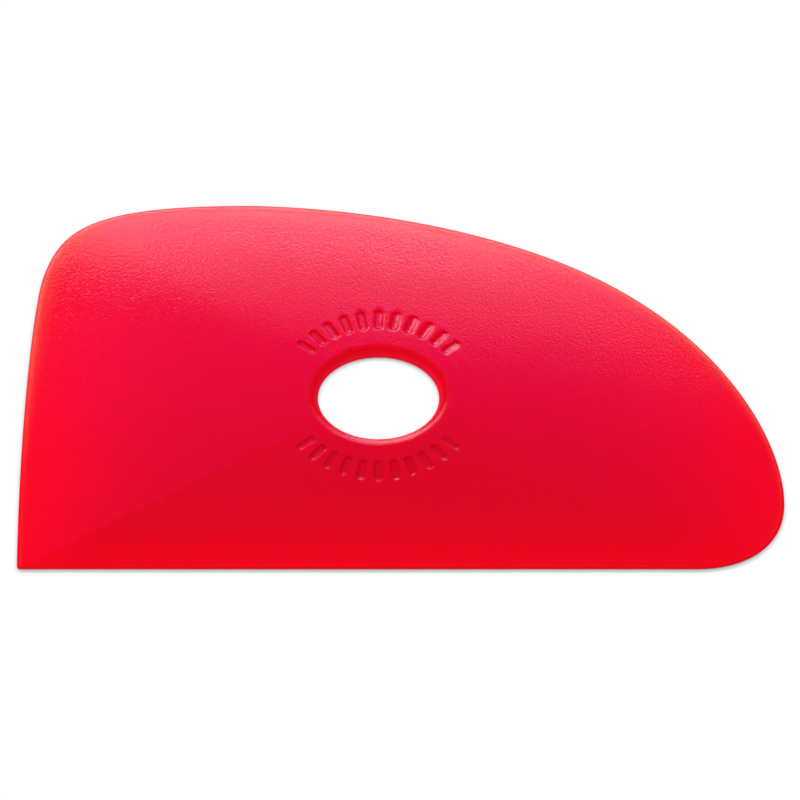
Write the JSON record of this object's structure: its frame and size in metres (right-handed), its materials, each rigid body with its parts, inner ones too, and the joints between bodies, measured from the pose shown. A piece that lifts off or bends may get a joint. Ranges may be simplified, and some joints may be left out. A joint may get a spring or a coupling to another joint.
{
  "type": "pottery rib",
  "caption": "Soft cast pottery rib with a flat back, a domed face, a straight edge, a long curved edge, a rounded nose and an oval finger hole.",
  "frame": {"origin": "centre of the outline's box, on the flat back face, which is the face it lies on", "axes": "+X along the straight edge from the heel corner to the nose, +Y from the straight edge to the crown, +Z out of the flat back through the domed face"},
  "size_m": [0.14, 0.0672, 0.0053],
  "materials": {
    "soft_polymer": "translucent red cast polyurethane, satin with a fine pebbled skin"
  },
  "bodies": {
    "root": {"rib": "soft_polymer"}
  },
  "joints": []
}
